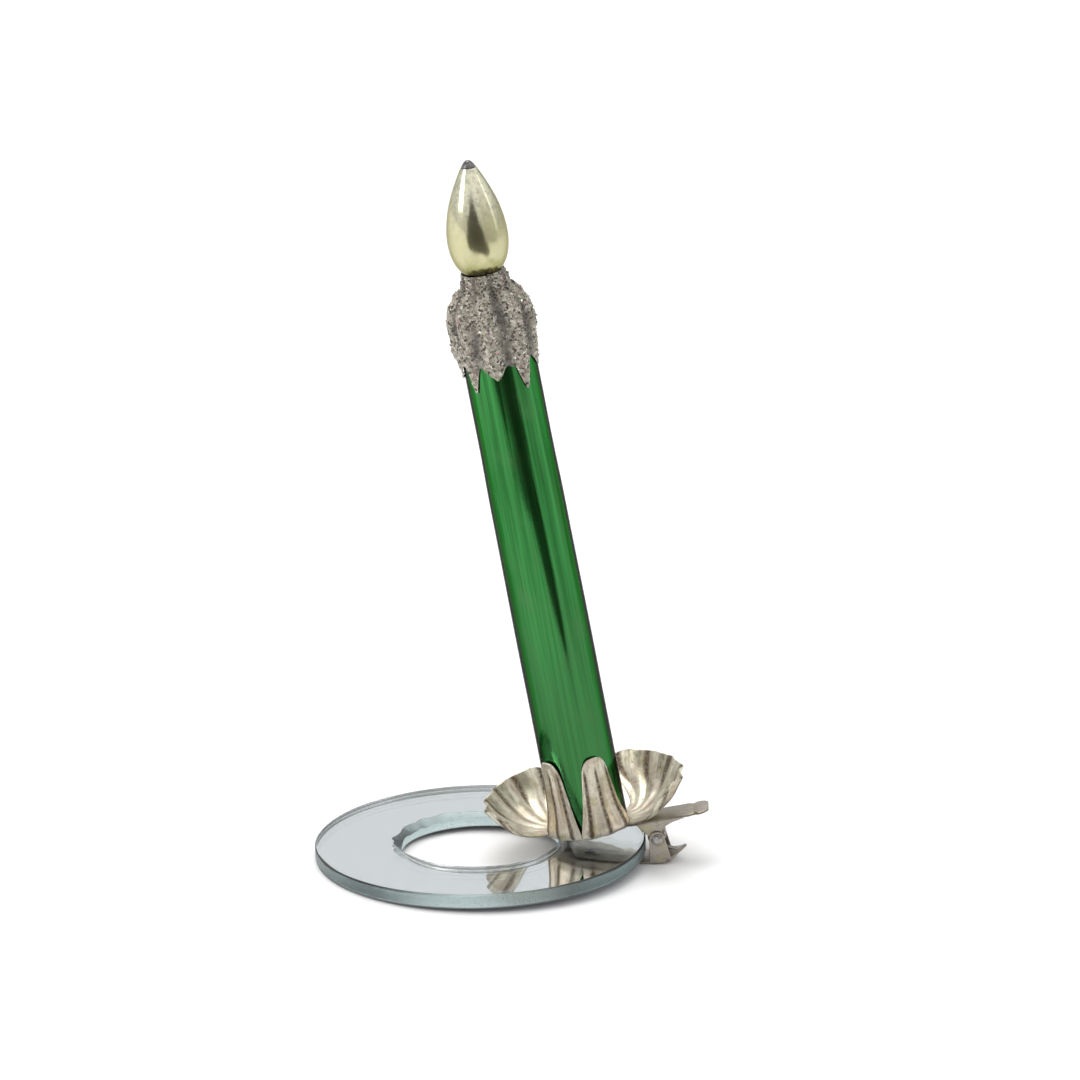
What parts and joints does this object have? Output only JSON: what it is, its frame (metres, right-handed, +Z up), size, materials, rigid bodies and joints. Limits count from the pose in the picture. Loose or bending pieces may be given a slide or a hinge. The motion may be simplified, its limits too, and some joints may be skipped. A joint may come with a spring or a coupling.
{
  "type": "clip-on glass candle on a mirror ring",
  "caption": "Blown-glass candle with a gilt flame and glitter drips, gripped by the prongs of a sprung tinplate clip on the rim of a flat mirror-glass ring.",
  "frame": {"origin": "on the table, at the middle of the assembly's footprint", "axes": "+X out along the clip's handles, +Y to the back, +Z up"},
  "size_m": [0.0651, 0.0546, 0.1214],
  "materials": {
    "mirror_glass": "polished flat glass with a greenish edge",
    "silvering": "silvering under paint",
    "tinplate_lever": "worn tinplate",
    "steel_pin": "dull steel",
    "spring_wire": "drawn spring wire",
    "tinplate_pan": "bright stamped tinplate with a warm tarnish",
    "green_glass": "silvered inside, green lacquer",
    "gilt_glass": "silvered inside, pale gold lacquer",
    "dark_glass": "bare sealed glass",
    "glitter": "crushed-glass glitter in grey-beige lacquer"
  },
  "bodies": {
    "ring": {"ring_glass": "mirror_glass", "mirror_backing": "silvering"},
    "clip_lower": {"lower_lever": "tinplate_lever", "pivot_pin": "steel_pin", "torsion_spring": "spring_wire"},
    "clip_upper": {"upper_lever": "tinplate_lever", "pan_rivet": "steel_pin", "drip_pan": "tinplate_pan"},
    "candle": {"candle_tube": "green_glass", "glitter_drips": "glitter", "flame_bulb": "gilt_glass", "flame_tip": "dark_glass"}
  },
  "joints": [
    {"name": "clip_slide", "type": "slide", "parent": "ring", "child": "clip_lower", "axis": [0.9996, 0, 0.0294], "range_m": [0, 0.016]},
    {"name": "jaw_pivot", "type": "hinge", "parent": "clip_lower", "child": "clip_upper", "pos_m": [0.02395, 0, 0.00435], "axis": [0, 1, 0], "range_deg": [0, 30], "stiffness_Nm_per_rad": 0.02, "springref_deg": -28.65, "deforming": ["torsion_spring"]},
    {"name": "candle_lift", "type": "slide", "parent": "clip_upper", "child": "candle", "axis": [-0.1828, 0, 0.9831], "range_m": [0, 0.02]}
  ]
}
